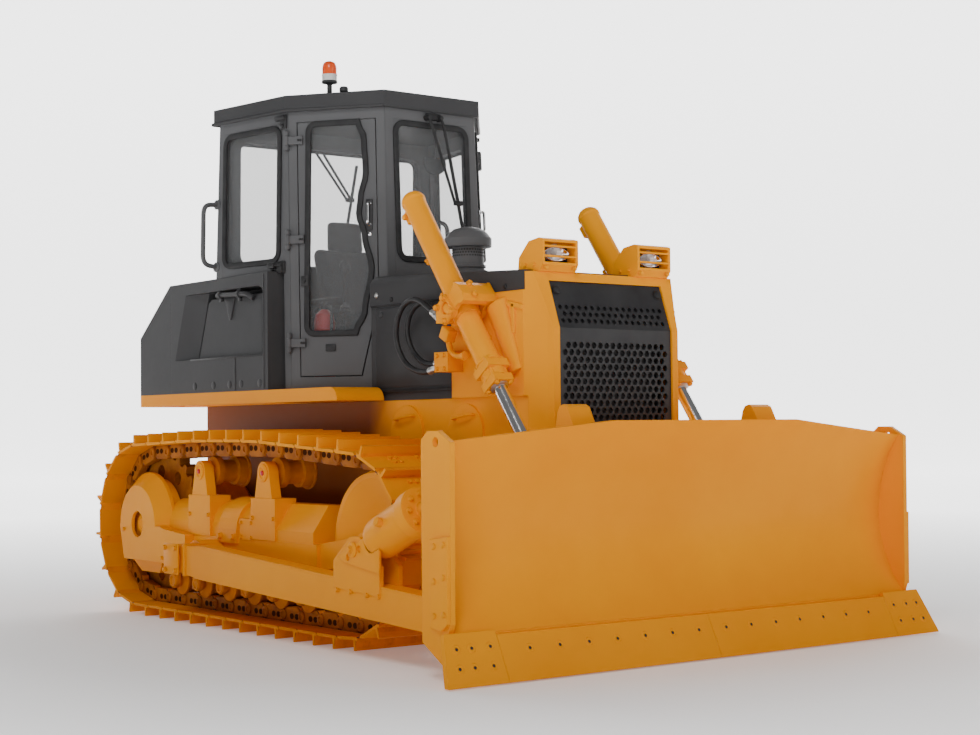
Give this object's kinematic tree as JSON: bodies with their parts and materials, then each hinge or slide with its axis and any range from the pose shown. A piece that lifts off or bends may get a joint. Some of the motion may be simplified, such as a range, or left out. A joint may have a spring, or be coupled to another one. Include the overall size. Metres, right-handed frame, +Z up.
{
  "type": "crawler bulldozer",
  "caption": "Crawler bulldozer with steel tracks, a straight blade that lifts on twin cylinders, a glazed six-sided cab with swinging doors and a perforated front guard.",
  "frame": {"origin": "on the ground, in the middle of the part's length and width", "axes": "+X forward to the blade, +Y to the machine's left, +Z up"},
  "size_m": [4.501, 3.186, 3.267],
  "materials": {
    "body_paint": "gloss paint",
    "dark_paint": "satin paint",
    "engine_iron": "matt",
    "track_steel": "dusty paint",
    "edge_steel": "paint",
    "chrome": "polished",
    "hose_rubber": "matt",
    "black_plastic": "grained",
    "beacon_plastic": "clear amber",
    "seat_fabric": "woven",
    "glass": "clear"
  },
  "bodies": {
    "hull": {"main_frame": "body_paint", "engine_block": "engine_iron", "radiator": "engine_iron", "radiator_guard": "body_paint", "grille": "dark_paint", "hood": "dark_paint", "engine_side_panels": "dark_paint", "air_stack": "black_plastic", "headlamps": "body_paint", "headlamp_lenses": "glass", "cylinder_yokes": "body_paint", "hose_blocks": "body_paint", "hose_right_upper": "hose_rubber", "hose_right_lower": "hose_rubber", "hose_left_upper": "hose_rubber", "hose_left_lower": "hose_rubber", "platform": "body_paint", "fuel_tank": "dark_paint", "side_boxes": "dark_paint", "hydraulic_tank": "dark_paint", "cab_floor": "hose_rubber", "cab_frame": "dark_paint", "cab_front_panel": "dark_paint", "cab_rear_panel": "dark_paint", "cab_side_panels": "dark_paint", "cab_glass": "glass", "roof": "dark_paint", "beacon_lamp": "beacon_plastic", "operator_seat": "seat_fabric", "controls": "black_plastic", "grab_handles": "dark_paint", "track_right": "track_steel", "track_left": "track_steel", "track_frame_right": "body_paint", "track_frame_left": "body_paint", "sprockets": "track_steel", "final_drives": "body_paint", "idlers": "body_paint", "track_rollers": "body_paint", "carrier_rollers": "track_steel", "equalizer_bar": "body_paint", "drawbar": "body_paint"},
    "blade_group": {"blade": "body_paint", "cutting_edges": "edge_steel", "push_arms": "body_paint", "blade_braces": "body_paint"},
    "right_barrel": {"lift_barrel_right": "body_paint"},
    "left_barrel": {"lift_barrel_left": "body_paint"},
    "right_rod": {"lift_rod_right": "chrome"},
    "left_rod": {"lift_rod_left": "chrome"},
    "right_door_leaf": {"right_door": "dark_paint", "right_door_glass": "glass"},
    "left_door_leaf": {"left_door": "dark_paint", "left_door_glass": "glass"}
  },
  "joints": [
    {"name": "blade_lift", "type": "hinge", "parent": "hull", "child": "blade_group", "pos_m": [-0.6535, 0, 0.391], "axis": [0, -1, 0], "range_deg": [-8.5, 17.7]},
    {"name": "right_barrel_swing", "type": "hinge", "parent": "hull", "child": "right_barrel", "pos_m": [1.0395, -0.61, 1.708], "axis": [0, -1, 0], "range_deg": [-9.8, 20.4]},
    {"name": "left_barrel_swing", "type": "hinge", "parent": "hull", "child": "left_barrel", "pos_m": [1.0395, 0.61, 1.708], "axis": [0, -1, 0], "range_deg": [-9.8, 20.4]},
    {"name": "right_rod_slide", "type": "slide", "parent": "right_barrel", "child": "right_rod", "axis": [0.592, 0, -0.8059], "range_m": [-0.654, 0.314]},
    {"name": "left_rod_slide", "type": "slide", "parent": "left_barrel", "child": "left_rod", "axis": [0.592, 0, -0.8059], "range_m": [-0.654, 0.314]},
    {"name": "right_door_swing", "type": "hinge", "parent": "hull", "child": "right_door_leaf", "pos_m": [-0.5358, -0.70998, 2.2], "axis": [0.0424, -0.014, -0.999], "range_deg": [0, 150]},
    {"name": "left_door_swing", "type": "hinge", "parent": "hull", "child": "left_door_leaf", "pos_m": [-0.5358, 0.70998, 2.2], "axis": [-0.0424, -0.014, 0.999], "range_deg": [0, 150]}
  ],
  "couplings": [
    {"joint": "right_barrel_swing", "follows": "blade_lift", "ratio": 1.15},
    {"joint": "left_barrel_swing", "follows": "blade_lift", "ratio": 1.15},
    {"joint": "right_rod_slide", "follows": "blade_lift", "m_per_rad": -2.114},
    {"joint": "left_rod_slide", "follows": "blade_lift", "m_per_rad": -2.114}
  ]
}
